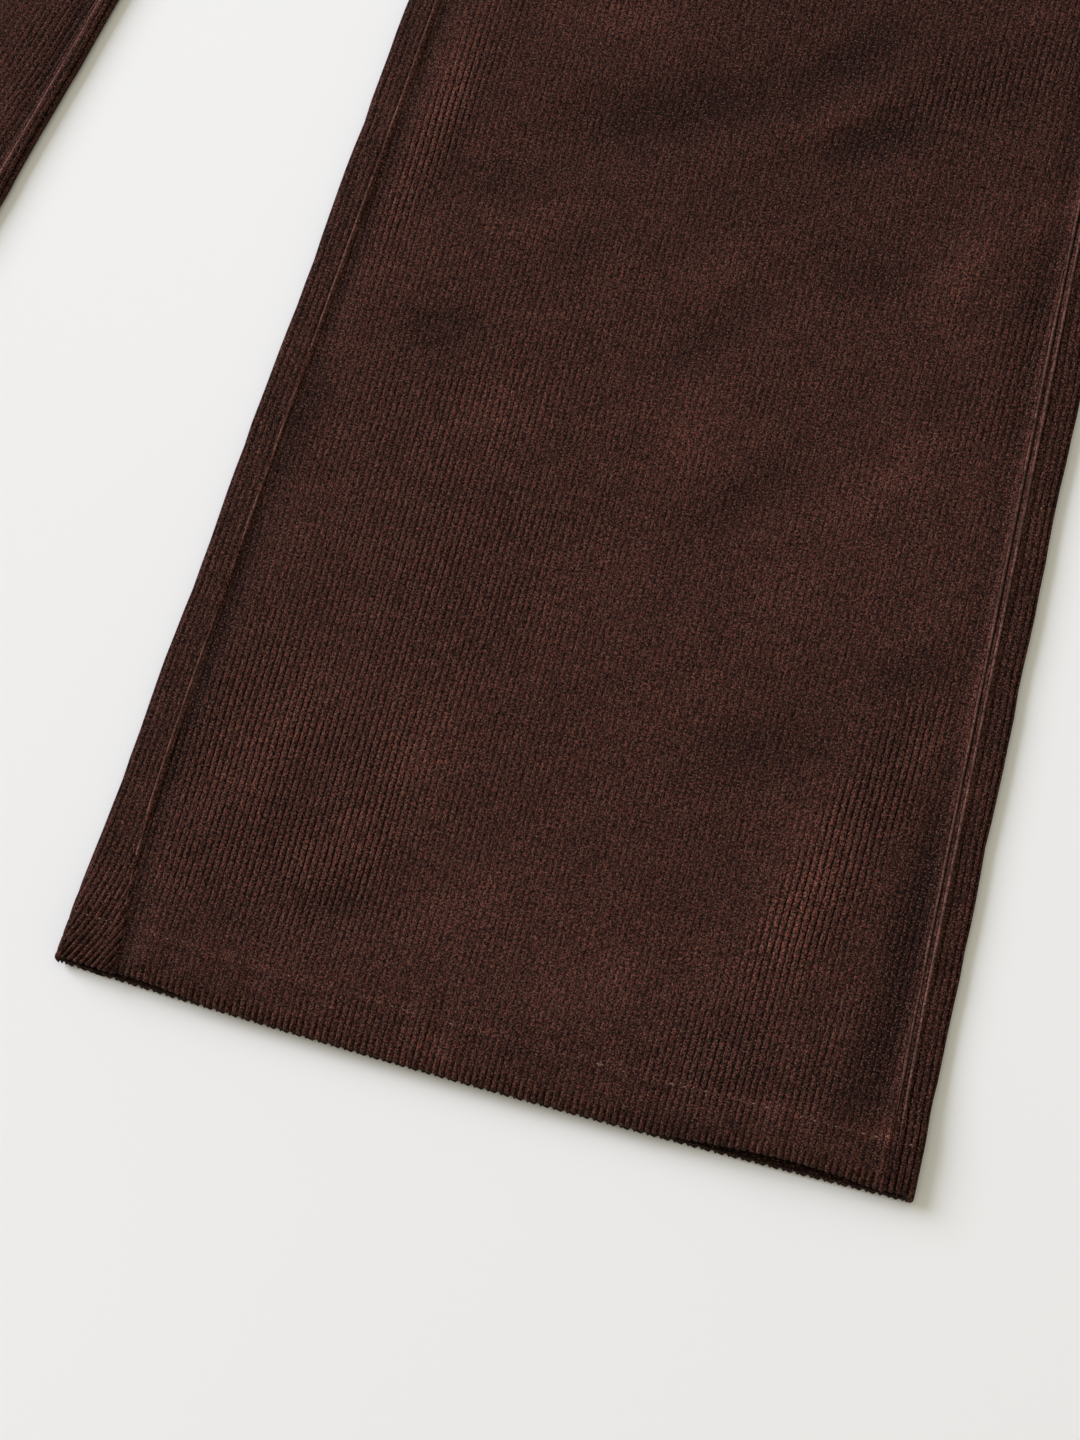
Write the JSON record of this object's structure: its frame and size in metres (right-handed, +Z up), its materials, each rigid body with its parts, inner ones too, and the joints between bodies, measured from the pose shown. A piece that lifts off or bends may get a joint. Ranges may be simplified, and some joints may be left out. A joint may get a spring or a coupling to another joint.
{
  "type": "corduroy trousers",
  "caption": "Flared corduroy trousers laid flat, front up, with topstitched hems, seams turned on to the front, a plain waistband, a fly zip and a waist button.",
  "frame": {"origin": "on the surface that the trousers lie on, under the middle of their outline", "axes": "+Z up through the laid cloth to its front, +Y from the hems to the waist, +X to the wearer's left leg"},
  "size_m": [0.5922, 1.0504, 0.0118],
  "materials": {
    "corduroy": "dark brown fine-wale corduroy with a short soft pile",
    "zip_tape": "dark brown woven polyester tape",
    "zip_metal": "aged brass",
    "button": "dark brown plastic with a soft shine"
  },
  "bodies": {
    "root": {"front_left": "corduroy", "front_right": "corduroy", "back_left": "corduroy", "back_right": "corduroy", "waistband_front_left": "corduroy", "waistband_front_right": "corduroy", "waistband_back": "corduroy", "zip_tape": "zip_tape", "zip_slider": "zip_metal", "waist_button": "button"}
  },
  "joints": []
}
